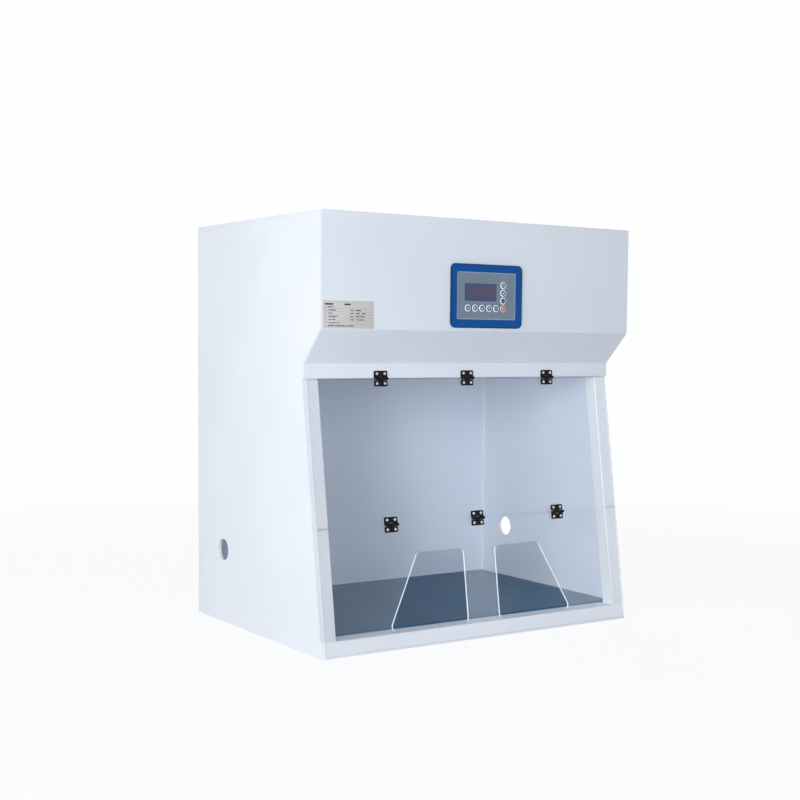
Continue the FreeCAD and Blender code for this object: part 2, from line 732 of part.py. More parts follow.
def control_bezel():
    body = new_body("control_bezel")

    def outline(sketch):
        centred(sketch, "0", "panel_z", "bezel_width", "bezel_height")

    def opening(sketch):
        centred(sketch, "0", "panel_z", "face_width - 2 * face_lip", "face_height - 2 * face_lip")

    def seat(sketch):
        centred(sketch, "0", "panel_z", "face_width + 2 * key_clearance", "face_height + 2 * key_clearance")

    pad(body, "bezel_plate", "XZ", "fascia_y - bezel_thickness", "fascia_y", outline)
    cut(body, "bezel_opening", "XZ", "fascia_y - bezel_thickness", "fascia_y", opening)
    cut(body, "face_seat", "XZ", "fascia_y - bezel_thickness", "face_back_y", seat)
    wide, seat_wide = value("bezel_width / 2"), value("face_width / 2 + key_clearance")
    fillet(body, "bezel_corners", "bezel_corner", lambda edge: along(edge, Y_AXIS) and abs(
        abs(edge.CenterOfMass.x) - wide) < 1e-3)
    fillet(body, "seat_corners", "face_corner", lambda edge: along(edge, Y_AXIS) and abs(
        abs(edge.CenterOfMass.x) - seat_wide) < 1e-3)
    front_y, middle = value("fascia_y - bezel_thickness"), value("panel_z")
    seat_tall = value("face_height / 2 + key_clearance")
    fillet(body, "bezel_front_edge", "bezel_edge", lambda edge: at_level(edge, Y_AXIS, front_y) and (
        abs(edge.CenterOfMass.x) > seat_wide + 1 or abs(edge.CenterOfMass.z - middle) > seat_tall + 1))
    return body


KEY_PLACES = [("key_row_%d" % (i + 1), "key_row_x + %d * key_row_pitch" % i, "panel_z - key_row_drop")
              for i in range(5)]
KEY_PLACES.append(("key_red", "key_row_x + 5 * key_row_pitch", "panel_z - key_row_drop"))
KEY_PLACES += [("key_column_%d" % i, "key_row_x + 5 * key_row_pitch",
                "panel_z - key_row_drop + %d * key_column_pitch" % i) for i in (1, 2, 3)]


def control_face():
    body = new_body("control_face")

    def outline(sketch):
        centred(sketch, "0", "panel_z", "face_width", "face_height")
        centred(sketch, "display_x", "display_z", "display_width + 2 * key_clearance",
                "display_height + 2 * key_clearance")
        for name, x, z in KEY_PLACES:
            circle(sketch, x, z, "key_radius + key_clearance")

    pad(body, "face_plate", "XZ", "face_front_y", "face_back_y", outline)
    wide = value("face_width / 2")
    fillet(body, "face_corners", "face_corner", lambda edge: along(edge, Y_AXIS) and abs(
        abs(edge.CenterOfMass.x) - wide) < 1e-3)
    return body


def display_window():
    """Clear window in the face with a rim behind it."""
    body = new_body("display_window")

    def window(sketch):
        centred(sketch, "display_x", "display_z", "display_width", "display_height")

    def rim(sketch):
        centred(sketch, "display_x", "display_z", "display_width + 4", "display_height + 4")

    pad(body, "window", "XZ", "face_front_y - display_proud", "face_back_y", window)
    pad(body, "window_rim", "XZ", "face_back_y", "face_back_y + 1", rim)
    return body


def control_key(label, x, z):
    """Round key with a shallow dome, held behind the face by its flange."""
    body = new_body(label)
    proud = "(face_front_y - key_proud)"
    rim = "(key_radius + key_flange)"
    flange = "(key_back_y - key_flange_thickness)"
    revolve(body, "cap_" + label, [
        ("0", "key_back_y"), (rim, "key_back_y"), (rim, flange), ("key_radius", flange),
        ("key_radius", proud + " + key_dome"), ("key_radius - 2 * key_dome", proud), ("0", proud)], plane="XY")
    move(body, x, "0", z)
    return body


def control_box():
    """Open tray behind the cut-out that shields the electronics."""
    body = new_body("control_box")
    wide, tall = "cutout_width - 2 * box_clearance", "cutout_height - 2 * box_clearance"

    def shell(sketch):
        centred(sketch, "0", "panel_z", wide, tall)

    def inside(sketch):
        centred(sketch, "0", "panel_z", wide + " - 2 * box_wall", tall + " - 2 * box_wall")

    pad(body, "box_shell", "XZ", "fascia_y", "fascia_y + box_depth", shell)
    cut(body, "box_inside", "XZ", "fascia_y", "fascia_y + box_depth - box_wall", inside)
    return body


def control_board():
    """Circuit board in the box, with one switch behind each key and the display module."""
    body = new_body("control_board")

    def plate(sketch):
        centred(sketch, "0", "panel_z", "cutout_width - 4 * box_clearance - 2 * box_wall",
                "cutout_height - 4 * box_clearance - 2 * box_wall")

    def switches(sketch):
        for name, x, z in KEY_PLACES:
            circle(sketch, x, z, "switch_radius")

    def display(sketch):
        centred(sketch, "display_x", "display_z", "display_width - 4", "display_height - 4")

    pad(body, "circuit_plate", "XZ", "board_front_y", "board_front_y + board_thickness", plate)
    pad(body, "switches", "XZ", "key_back_y + key_switch_gap", "board_front_y", switches)
    pad(body, "display_module", "XZ", "face_back_y + 1.3", "board_front_y", display)
    return body


def power_inlet():
    """Mains inlet let into the back panel, with three pins in its socket."""
    body = new_body("power_inlet")

    def flange(sketch):
        centred(sketch, "inlet_x", "inlet_z", "inlet_width", "inlet_tall")

    def barrel(sketch):
        centred(sketch, "inlet_x", "inlet_z", "inlet_body_width - 2 * inlet_clearance",
                "inlet_body_tall - 2 * inlet_clearance")

    def socket(sketch):
        half, tall = "inlet_socket_width / 2", "inlet_socket_tall / 2"
        bevel = "inlet_socket_tall / 3"
        polygon(sketch, [
            ("inlet_x - " + half, "inlet_z - " + tall), ("inlet_x + " + half, "inlet_z - " + tall),
            ("inlet_x + " + half, "inlet_z + %s - %s" % (tall, bevel)),
            ("inlet_x + %s - %s" % (half, bevel), "inlet_z + " + tall),
            ("inlet_x - %s + %s" % (half, bevel), "inlet_z + " + tall),
            ("inlet_x - " + half, "inlet_z + %s - %s" % (tall, bevel))])

    def pins(sketch):
        for place, rise in ((-1, -1), (0, 0.5), (1, -1)):
            centred(sketch, "(inlet_x + %d * inlet_socket_width / 3.4)" % place,
                    "(inlet_z + %s * inlet_pin / 2)" % rise, "inlet_pin / 2", "inlet_pin")

    pad(body, "inlet_plate", "XZ", "back_y", "back_y + inlet_flange", flange)
    pad(body, "inlet_barrel", "XZ", "back_y - inlet_depth", "back_y", barrel)
    cut(body, "inlet_socket", "XZ", "back_y + inlet_flange - inlet_socket_depth", "back_y + inlet_flange", socket)
    pad(body, "inlet_pins", "XZ", "back_y + inlet_flange - inlet_socket_depth", "back_y - 1", pins)
    return body


# Sash and hinges. Each is drawn upright with the hinge axis as its X axis, then leaned.

def hinge_holes(sketch, rows):
    for row in rows:
        for place in (-1, 0, 1):
            for side in (-1, 1):
                circle(sketch, "%s + %d * hinge_screw_pitch / 2" % (hinge_x(place), side), row,
                       "hinge_screw_radius + screw_clearance")


def round_sash_corners(body, name, bottom, top):
    half = value("half_width - sash_side_inset")
    levels = (value(bottom), value(top))
    fillet(body, name, "sash_corner", lambda edge: along(edge, Y_AXIS) and abs(
        abs(edge.CenterOfMass.x) - half) < 1e-3 and min(abs(edge.CenterOfMass.z - z) for z in levels) < 1e-3)


def upper_sash():
    body = new_body("upper_sash")
    bottom, top = "seam_gap / 2 - upper_sash_pitch", "-seam_gap / 2"

    def outline(sketch):
        rectangle(sketch, "sash_side_inset - half_width", "half_width - sash_side_inset", bottom, top)
        hinge_holes(sketch, ["-hinge_screw_row", "hinge_screw_row - upper_sash_pitch"])

    pad(body, "upper_sheet", "XZ", "hinge_offset", "hinge_offset + sash_thickness", outline)
    round_sash_corners(body, "upper_corners", bottom, top)
    lean(body, "axis_y", "axis_z")
    return body


def lower_sash():
    """Clear sheet with two hand holes, slanted on their outer sides."""
    body = new_body("lower_sash")
    bottom, top = "-lower_sash_length", "-seam_gap / 2"

    def outline(sketch):
        rectangle(sketch, "sash_side_inset - half_width", "half_width - sash_side_inset", bottom, top)
        hinge_holes(sketch, ["-hinge_screw_row"])

    def hand_holes(sketch):
        head, foot = "-hole_drop", "-hole_drop - hole_height"
        for side in (-1, 1):
            polygon(sketch, [("%d * hole_inner" % side, foot), ("%d * hole_inner" % side, head),
                             ("%d * hole_outer_top" % side, head), ("%d * hole_outer_foot" % side, foot)])

    pad(body, "lower_sheet", "XZ", "hinge_offset", "hinge_offset + sash_thickness", outline)
    cut(body, "hand_holes", "XZ", "hinge_offset", "hinge_offset + sash_thickness", hand_holes)
    reach = value("hole_outer_foot") + 1
    head, foot = value("-hole_drop"), value("-hole_drop - hole_height")
    fillet(body, "hand_hole_corners", "hole_corner", lambda edge: along(edge, Y_AXIS) and abs(
        edge.CenterOfMass.x) < reach and min(abs(edge.CenterOfMass.z - head),
                                             abs(edge.CenterOfMass.z - foot)) < 1e-3)
    round_sash_corners(body, "lower_corners", bottom, top)
    lean(body, "seam_y", "seam_z")
    return body


def hinge_leaf(label, place, rise, outer_knuckles):
    """One leaf, with its two outer knuckles or the middle one; rise is 1 above the axis and -1 below."""
    body = new_body(label)
    middle = hinge_x(place)
    half = "(%s + %s * hinge_width / 2)"
    near, far = "%d * (knuckle_radius + knuckle_gap)" % rise, "%d * leaf_length" % rise
    low, high = (near, far) if rise > 0 else (far, near)

    def plate(sketch):
        rectangle(sketch, half % (middle, "-1"), half % (middle, "1"), low, high)
        for side in (-1, 1):
            circle(sketch, "%s + %d * hinge_screw_pitch / 2" % (middle, side), "%d * hinge_screw_row" % rise,
                   "hinge_screw_radius + screw_clearance")

    spans = [("-hinge_width / 2", "-knuckle_length / 2 - knuckle_gap"),
             ("knuckle_length / 2 + knuckle_gap", "hinge_width / 2")]
    if not outer_knuckles:
        spans = [("-knuckle_length / 2", "knuckle_length / 2")]
    pad(body, "plate_" + label, "XZ", "hinge_offset - leaf_thickness", "hinge_offset", plate)
    rounded = [value(far)] if outer_knuckles else [value(far), value(near)]

    def corner(edge):
        return along(edge, Y_AXIS) and any(abs(edge.CenterOfMass.z - level) < 1e-3 for level in rounded)

    fillet(body, "leaf_corners_" + label, "leaf_corner", corner)
    for i, (start, end) in enumerate(spans):
        start, end = "%s + %s" % (middle, start), "%s + %s" % (middle, end)

        def web(sketch):
            rectangle(sketch, "hinge_offset - leaf_thickness", "hinge_offset",
                      "0" if rise > 0 else near + " - 0.5", near + " + 0.5" if rise > 0 else "0")

        def barrel(sketch):
            circle(sketch, "0", "0", "knuckle_radius")

        def bore(sketch):
            circle(sketch, "0", "0", "pin_radius + pin_clearance")

        pad(body, "web_%s_%d" % (label, i), "YZ", start, end, web)
        pad(body, "barrel_%s_%d" % (label, i), "YZ", start, end, barrel)
        cut(body, "bore_%s_%d" % (label, i), "YZ", start, end, bore)
    return body


def hinge_pins(label, y, z):
    """The three pins of one row of hinges, each with a stub that shows at its right end."""
    pins = []
    for place in (-1, 0, 1):
        pin = doc.addObject("Part::Cylinder", "%s_%d" % (label, place + 2))
        bind(pin, "Radius", "pin_radius")
        bind(pin, "Height", "hinge_width + pin_stub")
        pin.Placement.Rotation = FreeCAD.Rotation(Y_AXIS, 90)
        move(pin, "%s - hinge_width / 2" % hinge_x(place), "0", "0")
        pins.append(pin)
    group = doc.addObject("Part::Compound", label)
    group.Label = label
    group.Links = pins
    lean(group, y, z)
    return group


def screw_shape(radius, length, head_radius, head_height, countersunk):
    """A screw along -Z with the top of its bearing face at the origin, or flush if countersunk."""
    if countersunk:
        corners = [(0, 0), (head_radius, 0), (radius, radius - head_radius), (radius, -length), (0, -length)]
    else:
        corners = [(0, head_height), (head_radius - head_height / 2, head_height), (head_radius, 0),
                   (radius, 0), (radius, -length), (0, -length)]
    wire = Part.makePolygon([Vector(x, 0, z) for x, z in corners + corners[:1]])
    return Part.Face(wire).revolve(Vector(0, 0, 0), Z_AXIS, 360)


def screw_group(label, screw, places):
    """Equal screws in one group, each turned and set by its placement."""
    group = doc.addObject("Part::Feature", label)
    group.Label = label
    copies = []
    for place in places:
        copy = screw.copy()
        copy.Placement = place
        copies.append(copy)
    group.Shape = Part.makeCompound(copies)
    return group


def hinge_screws():
    """Screws of the fixed rail leaves, of the upper sash (both rows) and of the lower sash."""
    screw = screw_shape(value("hinge_screw_radius"), value("hinge_screw_length"), value("hinge_head_radius"),
                        value("hinge_head_height"), False)
    to_front = FreeCAD.Rotation(X_AXIS, 90)
    seat = value("hinge_offset - leaf_thickness")
    row, pitch = value("hinge_screw_row"), value("hinge_screw_pitch / 2")
    upright = FreeCAD.Rotation()
    tilted = FreeCAD.Rotation(Vector(-1, 0, 0), value("sash_tilt"))
    rail_axis = Vector(0, value("axis_y"), value("axis_z"))
    seam_axis = Vector(0, value("seam_y"), value("seam_z"))

    def places(axis, rotation, rise):
        frame = FreeCAD.Placement(axis, rotation)
        return [frame.multiply(FreeCAD.Placement(
            Vector(value(hinge_x(place)) + side * pitch, seat, rise * row), to_front))
            for place in (-1, 0, 1) for side in (-1, 1)]

    return [screw_group("rail_leaf_screws", screw, places(rail_axis, upright, 1)),
            screw_group("upper_sash_screws", screw,
                        places(rail_axis, tilted, -1) + places(seam_axis, tilted, 1)),
            screw_group("lower_sash_screws", screw, places(seam_axis, tilted, -1))]


def cover_screws():
    screw = screw_shape(value("cover_screw_radius"), value("cover_screw_length"), value("cover_head_radius"), 0, True)
    spots = [Vector(value("%d * (half_width - board / 2)" % side), value(cover_screw_y(row)), value("height"))
             for side in (-1, 1) for row in range(int(SIZES["cover_screw_rows"]))]
    return screw_group("cover_screws", screw, [FreeCAD.Placement(spot, FreeCAD.Rotation()) for spot in spots])


# Assembly

parts = [
    side_panel("side_panel_left", "-half_width", "-inner_x", -1),
    side_panel("side_panel_right", "inner_x", "half_width", 1),
    back_panel(), fascia(), top_cover(), front_sill(),
    front_post("post_left", -1), front_post("post_right", 1),
    box("base_board", "-inner_x", "inner_x", front_inside("board"), "back_y - board", "0", "board"),
    box("inner_back_wall", "-inner_x", "inner_x", "wall_y", "wall_y + liner", "board", "shelf_z"),
    filter_shelf(),
    box("plenum_partition", "-inner_x", "inner_x", "partition_y", "partition_y + board", "shelf_top_z",
        "height - board"),
    worktop(), worktop_bearers(), prefilter(), carbon_filter_case(), carbon_bed(),
    lamp_tray(), lamp_diffuser(), led_strip(),
    fan_deck(), inlet_ring(), fan_impeller(), fan_motor(), motor_bridge(),
    control_bezel(), control_face(), display_window(), control_box(), control_board(), power_inlet(),
    upper_sash(), lower_sash(),
    hinge_pins("rail_hinge_pins", "axis_y", "axis_z"), hinge_pins("seam_hinge_pins", "seam_y", "seam_z"),
]
parts += [control_key(name, x, z) for name, x, z in KEY_PLACES]

for name, place in (("left", -1), ("middle", 0), ("right", 1)):
    fixed = hinge_leaf("rail_hinge_%s_fixed" % name, place, 1, True)
    move(fixed, "0", "axis_y", "axis_z")
    moving = hinge_leaf("rail_hinge_%s_moving" % name, place, -1, False)
    lean(moving, "axis_y", "axis_z")
    turned = place == 1
    upper = hinge_leaf("seam_hinge_%s_upper" % name, place, 1, not turned)
    lower = hinge_leaf("seam_hinge_%s_lower" % name, place, -1, turned)
    lean(upper, "seam_y", "seam_z")
    lean(lower, "seam_y", "seam_z")
    parts += [fixed, moving, upper, lower]

doc.recompute()
parts += hinge_screws() + [cover_screws()]
doc.recompute()

# Checks and export

for item in doc.Objects:
    bad = [state for state in item.State if state in ("Invalid", "Error")]
    if bad:
        raise RuntimeError("%s is %s" % (item.Name, bad))
    if item.TypeId in ("PartDesign::Pocket", "PartDesign::Groove"):
        if item.Shape.Volume > item.BaseFeature.Shape.Volume - 1:
            raise RuntimeError("%s cuts nothing" % item.Name)

for item in parts:
    if item.Shape.isNull() or not item.Shape.isValid():
        raise RuntimeError("%s has no valid shape" % item.Label)
    item.Shape.exportStep("parts/%s.step" % item.Label)

whole = Part.makeCompound([item.Shape for item in parts]).BoundBox
print("nodes %d, solids %d" % (len(parts), sum(len(item.Shape.Solids) for item in parts)))
print("size %.2f x %.2f x %.2f" % (whole.XLength, whole.YLength, whole.ZLength))
print("y %.3f to %.3f, z %.3f to %.3f" % (whole.YMin, whole.YMax, whole.ZMin, whole.ZMax))
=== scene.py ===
import json
import math

import bmesh
import bpy
from mathutils import Matrix, Vector


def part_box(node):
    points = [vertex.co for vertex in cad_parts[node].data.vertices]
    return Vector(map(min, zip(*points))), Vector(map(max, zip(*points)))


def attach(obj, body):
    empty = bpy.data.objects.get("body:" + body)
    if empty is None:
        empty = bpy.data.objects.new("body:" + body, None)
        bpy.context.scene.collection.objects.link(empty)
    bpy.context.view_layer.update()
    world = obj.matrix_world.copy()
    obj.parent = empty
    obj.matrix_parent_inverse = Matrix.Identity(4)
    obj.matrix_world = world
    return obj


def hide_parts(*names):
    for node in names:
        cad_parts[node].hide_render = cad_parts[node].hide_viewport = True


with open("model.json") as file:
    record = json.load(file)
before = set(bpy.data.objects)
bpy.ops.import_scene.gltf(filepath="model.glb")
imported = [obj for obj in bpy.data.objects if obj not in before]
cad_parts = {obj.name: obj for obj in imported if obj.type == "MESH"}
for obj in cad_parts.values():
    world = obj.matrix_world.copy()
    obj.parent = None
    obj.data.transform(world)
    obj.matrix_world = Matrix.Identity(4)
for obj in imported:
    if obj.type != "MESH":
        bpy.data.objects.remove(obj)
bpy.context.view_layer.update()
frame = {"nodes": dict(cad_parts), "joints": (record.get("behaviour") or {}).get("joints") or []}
nodes = frame["nodes"]
joints = {joint["name"]: joint for joint in frame["joints"]}

# Measures in metres that the pieces below share with the cabinet.
SASH_TILT = math.radians(8.5)
RAIL_AXIS = Vector(joints["upper_sash_hinge"]["pos_m"])
SEAM_AXIS = Vector(joints["lower_sash_hinge"]["pos_m"])
FASCIA_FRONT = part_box("fascia")[0].y
HINGE_PITCH = 0.276
LEAF_THICKNESS = 0.0025
LEAF_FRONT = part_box("rail_hinge_left_fixed")[1].y - RAIL_AXIS.y - LEAF_THICKNESS

# The screws of a leaf stand this far beside its middle and this far from its pin.
SCREW_SIDE = 0.012
SCREW_ROW = 0.0125

# Half widths of the sash: inside its part that lies over the posts, and round its hand holes.
POST_COVER = 0.452
HAND_HOLES_END = 0.47

# The blank card on the fascia, its unprinted margin and its ruled rows.
CARD_LOW = Vector((-0.4983, FASCIA_FRONT - 0.0004, 0.8173))
CARD_HIGH = Vector((-0.3492, FASCIA_FRONT, 0.8855))
CARD_MARGIN = 0.004
CARD_ROW = 0.00765
CARD_ROWS = 7
FIRST_RULE = 0.0023

# Colours that more than one finish uses.
BOARD_WHITE = (0.82, 0.84, 0.895)
SIDE_WHITE = (0.83, 0.85, 0.90)
# The posts' inner faces, paler than the boards: painted light.
POST_INSIDE_PAINTED_LIGHT = (0.95, 0.97, 0.99)
BEZEL_BLUE = (0.002, 0.074, 0.285)
BACKDROP_WHITE = (0.992, 0.995, 1.0)
LAMP_WHITE = (0.96, 0.98, 1.0)

# Numbers of the Mix node's colour sockets, whose names repeat.
MIX_A = 6
MIX_B = 7
MIX_RESULT = 2

# The photograph's frame in pixels, and the lens that its lines were fitted with.
FRAME_WIDTH = 800
FOCAL_PIXELS = 1359.0
CENTRE_X = 405.9
CENTRE_Y = 441.0
SENSOR_WIDTH = 36


class Field:
    """A socket that adds, multiplies and compares like a number."""

    def __init__(self, owner, socket):
        self.owner = owner
        self.socket = socket

    def beside(self, name):
        """Another output of the same node."""
        return Field(self.owner, self.socket.node.outputs[name])

    def math(self, operation, first, second=0.0):
        """One Math node on fields or numbers."""
        return self.owner.node("ShaderNodeMath", {"operation": operation}, {0: first, 1: second})

    def __add__(self, other):
        return self.math("ADD", self, other)

    __radd__ = __add__

    def __mul__(self, other):
        return self.math("MULTIPLY", self, other)

    __rmul__ = __mul__

    def __sub__(self, other):
        return self.math("SUBTRACT", self, other)

    def __rsub__(self, other):
        return self.math("SUBTRACT", other, self)

    def __truediv__(self, other):
        return self.math("DIVIDE", self, other)

    def __rtruediv__(self, other):
        return self.math("DIVIDE", other, self)

    def __pow__(self, other):
        return self.math("POWER", self, other)

    def __mod__(self, other):
        return self.math("FLOORED_MODULO", self, other)

    def __abs__(self):
        return self.math("ABSOLUTE", self)

    def __gt__(self, other):
        return self.math("GREATER_THAN", self, other)

    def __lt__(self, other):
        return self.math("LESS_THAN", self, other)

    def least(self, other):
        """The smaller of the two."""
        return self.math("MINIMUM", self, other)

    def most(self, other):
        """The larger of the two."""
        return self.math("MAXIMUM", self, other)

    def between(self, low, high):
        """1 between two bounds and 0 elsewhere."""
        return (self > low) * (self < high)

    def angle_from(self, other):
        """The angle at which a point lies, this far up and that far along."""
        return self.math("ARCTAN2", self, other)

    def ramp(self, low, high):
        """0 below low, 1 above high and smooth between them."""
        inputs = {"Value": self, "From Min": low, "From Max": high, "To Min": 0.0, "To Max": 1.0}
        return self.owner.node("ShaderNodeMapRange", {"interpolation_type": "SMOOTHSTEP"}, inputs)


class ShaderTree:
    """The nodes of a material or of the world, round the shader that they start with."""

    def __init__(self, tree, shader, end):
        self.tree = tree
        self.shader = tree.nodes[shader]
        self.end = tree.nodes[end]

    def feed(self, socket, value):
        """Links a field to a socket, or writes a value into it."""
        if isinstance(value, Field):
            self.tree.links.new(value.socket, socket)
        elif isinstance(value, tuple) and len(value) < len(socket.default_value):
            socket.default_value = (*value, 1.0)
        else:
            socket.default_value = value

    def node(self, kind, settings=None, inputs=None, output=0):
        """One output of a new node, whose settings are made before its sockets are fed."""
        made = self.tree.nodes.new(kind)
        for name, value in (settings or {}).items():
            setattr(made, name, value)
        for name, value in (inputs or {}).items():
            self.feed(made.inputs[name], value)
        return Field(self, made.outputs[output])

    def set(self, **values):
        """Feeds sockets of the starting shader, each under its name in small letters."""
        for name, value in values.items():
            self.feed(self.shader.inputs[name.replace("_", " ").title().replace("Ior", "IOR")], value)
        return self

    def seen(self):
        """1 where it shows, straight on, in a gloss or through glass, and 0 where it only gives light."""
        ray = self.node("ShaderNodeLightPath", output="Is Camera Ray")
        return ray.most(ray.beside("Is Glossy Ray")).most(ray.beside("Is Transmission Ray"))

    def blend(self, share, other):
        """Turns the starting shader into another one as the share goes from 0 to 1."""
        own = Field(self, self.shader.outputs[0])
        shown = self.node("ShaderNodeMixShader", inputs={0: share, 1: own, 2: other})
        self.feed(self.end.inputs["Surface"], shown)
        return self


class Finish(ShaderTree):
    """A material with one Principled surface and the patterns that feed it."""

    def __init__(self, name, **constants):
        self.material = bpy.data.materials.new(name)
        self.material.use_nodes = True
        super().__init__(self.material.node_tree, "Principled BSDF", "Material Output")
        self.set(**constants)

    def place(self):
        """A point on the piece, in metres."""
        return self.node("ShaderNodeTexCoord", output="Object")

    def axes(self):
        """The three coordinates of a point on the piece, in metres."""
        split = self.node("ShaderNodeSeparateXYZ", inputs={"Vector": self.place()})
        return [split.beside(axis) for axis in "XYZ"]

    def facing(self, direction):
        """How squarely the surface faces a direction of the piece, from -1 to 1."""
        normal = self.node("ShaderNodeTexCoord", output="Normal")
        inputs = {0: normal, 1: direction}
        return self.node("ShaderNodeVectorMath", {"operation": "DOT_PRODUCT"}, inputs, "Value")

    def inset(self, low, high):
        """How far inside the front outline of a box a point lies, in metres."""
        x, y, z = self.axes()
        across = (high.x - low.x) / 2 - abs(x - (low.x + high.x) / 2)
        return across.least((high.z - low.z) / 2 - abs(z - (low.z + high.z) / 2))

    def stretched(self, scale):
        """A point on the piece, with its axes scaled for a pattern that runs one way."""
        return self.node("ShaderNodeMapping", inputs={"Vector": self.place(), "Scale": scale})

    def noise(self, scale, detail=2.0, where=None):
        """Cloudy noise with a scale per metre, on the piece or on a stretched point of it."""
        return self.node("ShaderNodeTexNoise", inputs={
            "Vector": where or self.place(), "Scale": scale, "Detail": detail})

    def mix(self, share, first, second):
        """The first colour turning into the second as the share goes from 0 to 1."""
        inputs = {"Factor": share, MIX_A: first, MIX_B: second}
        return self.node("ShaderNodeMix", {"data_type": "RGBA"}, inputs, MIX_RESULT)

    def relief(self, height, depth, edge=0.0):
        """A bump of a depth in metres, on edges that look rounded by a radius in metres."""
        inputs = {"Height": height, "Distance": depth}
        if edge:
            inputs["Normal"] = self.node("ShaderNodeBevel", {"samples": 4}, {"Radius": edge})
        return self.set(normal=self.node("ShaderNodeBump", inputs=inputs))


def toned(colour, share):
    """The colour made darker or lighter by a share."""
    return tuple(part * share for part in colour)


def white_board(name, tone=BOARD_WHITE, inward=None, inner=(0.84, 0.90, 0.985)):
    """Extruded plastic board: satin, a little wavy, with faint draw lines, and an inner face made paler with
    painted light.
    """
    finish = Finish(name, specular_ior_level=0.3)
    waves = finish.noise(3.2)
    lines = finish.noise(1.0, 3.0, finish.stretched((9.0, 9.0, 240.0)))
    grain = finish.noise(420.0)
    board = finish.mix(waves.ramp(0.35, 0.7), toned(tone, 0.965), tone)
    # Painted light: faces that look into the chamber take the paler, bluer inner colour.
    if inward:
        board = finish.mix(finish.facing(inward) > 0.9, board, inner)
    finish.set(base_color=board, roughness=0.44 + waves * 0.12 + lines * 0.06)
    return finish.relief(waves * 0.5 + lines * 0.25 + grain * 0.25, 0.00022, 0.0011)


def clear_acrylic(name):
    """Clear sheet, frosted and pale at its cut edges, with a painted glow on the edges of its hand holes and
    a dark painted shadow line where the two sheets meet over the posts.
    """
    finish = Finish(name, ior=1.49, coat_weight=0.0)
    x, y, z = finish.axes()
    cut_edge = abs(finish.facing((0.0, -math.cos(SASH_TILT), math.sin(SASH_TILT)))) < 0.6
    sideways = abs(finish.facing((1.0, 0.0, 0.0))).ramp(0.2, 0.9)
    hand_hole = sideways * (abs(x) < HAND_HOLES_END)
    over_post = abs(x) > POST_COVER
    from_seam = abs(z - SEAM_AXIS.z)
    # Bands where the two sheets meet over the posts, used below for painted shadow of the slot on the post
    # behind.
    painted_seam_shadow = (from_seam < 0.008) * over_post
    painted_arris_shadow = (from_seam < 0.0018) * over_post * (1 - cut_edge)
    # A faint pale blue veil over the sheet: partly the sheet's own haze, partly painted reflection.
    haze_and_painted_veil = finish.noise(2.6, 3.0)
    saw_marks = finish.noise(900.0)
    smears = finish.noise(1.0, 4.0, finish.stretched((3.0, 3.0, 14.0)))
    # Painted shadow: along the meeting line over the posts the face goes dark and the cut edges go a darker
    # grey-blue and more opaque. Elsewhere the up- and down-facing cut edges are grey-blue, also painted
    # shade, and the sideways ones are frosted white.
    sheet = finish.mix(painted_arris_shadow, (0.62, 0.70, 0.78), (0.10, 0.13, 0.17))
    sawn = finish.mix(painted_seam_shadow, (0.42, 0.50, 0.60), (0.20, 0.24, 0.30))
    sawn = finish.mix(sideways, sawn, (0.97, 0.98, 0.99))
    frost = 0.45 + (hand_hole * 0.45).most(painted_seam_shadow * 0.15)
    # The cut edges of the hand holes glow faintly though they are no lamp: a painted highlight.
    hole_edge_painted_glow = finish.mix(cut_edge * hand_hole, (0.0, 0.0, 0.0), (0.90, 0.96, 1.0))
    finish.set(base_color=finish.mix(cut_edge, sheet, sawn),
               roughness=0.05 + smears * 0.05 + cut_edge * (0.25 + saw_marks * 0.15),
               alpha=0.004 + haze_and_painted_veil * 0.012 + painted_arris_shadow * 0.10 + cut_edge * frost,
               emission_color=hole_edge_painted_glow, emission_strength=0.2)
    mirror = finish.node("ShaderNodeBsdfGlossy", inputs={"Color": (0.84, 0.91, 1.0), "Roughness": 0.12})
    grazing = finish.node("ShaderNodeLayerWeight", inputs={"Blend": 0.5}, output="Facing")
    return finish.blend((0.026 + 0.7 * grazing ** 5) * (1 - cut_edge * 0.8), mirror)


def worktop_panel(name):
    """Dark blue resin top with a fine orange peel."""
    finish = Finish(name, specular_ior_level=0.28)
    cloud = finish.noise(5.0, 4.0)
    peel = finish.noise(650.0, 1.0)
    rubbed = finish.noise(1.0, 3.0, finish.stretched((30.0, 4.0, 4.0)))
    finish.set(base_color=finish.mix(cloud.ramp(0.3, 0.75), (0.010, 0.082, 0.172), (0.018, 0.116, 0.232)),
               roughness=0.24 + cloud * 0.10 + rubbed * 0.10)
    return finish.relief(peel, 0.00008, 0.0006)


def moulded(name, colour, roughness, grain=500.0, depth=0.00004, edge=0.0004, gloss=0.5, variation=0.06):
    """Moulded plastic with a fine grain."""
    finish = Finish(name, specular_ior_level=gloss)
    cloud = finish.noise(14.0, 3.0)
    sand = finish.noise(grain)
    finish.set(base_color=finish.mix(cloud, colour, toned(colour, 1 - variation)),
               roughness=roughness + cloud * 0.06 + sand * 0.04)
    return finish.relief(sand, depth, edge)


def metal(name, colour, roughness, brushed=(1.0, 1.0, 60.0)):
    """Bare metal with fine brush lines."""
    finish = Finish(name, metallic=1.0)
    brush = finish.noise(40.0, 3.0, finish.stretched(brushed))
    cloud = finish.noise(9.0)
    finish.set(base_color=finish.mix(cloud, colour, toned(colour, 0.9)),
               roughness=roughness + brush * 0.12 + cloud * 0.05)
    return finish.relief(brush, 0.00002, 0.0002)


def bezel_plastic(name):
    """Deep blue moulding, with painted shade darkening its rim."""
    finish = Finish(name, specular_ior_level=0.07)
    # Painted shade: the rim is darkened as if it turned away from the light.
    rim_painted_shade = 1 - finish.inset(*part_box("control_bezel")).ramp(0.0012, 0.0032)
    cloud = finish.noise(14.0, 3.0)
    sand = finish.noise(600.0)
    blue = finish.mix(cloud, BEZEL_BLUE, toned(BEZEL_BLUE, 1.1))
    finish.set(base_color=finish.mix(rim_painted_shade, blue, (0.001, 0.030, 0.115)),
               roughness=0.30 + cloud * 0.06 + sand * 0.04)
    return finish.relief(sand, 0.00003, 0.0008)


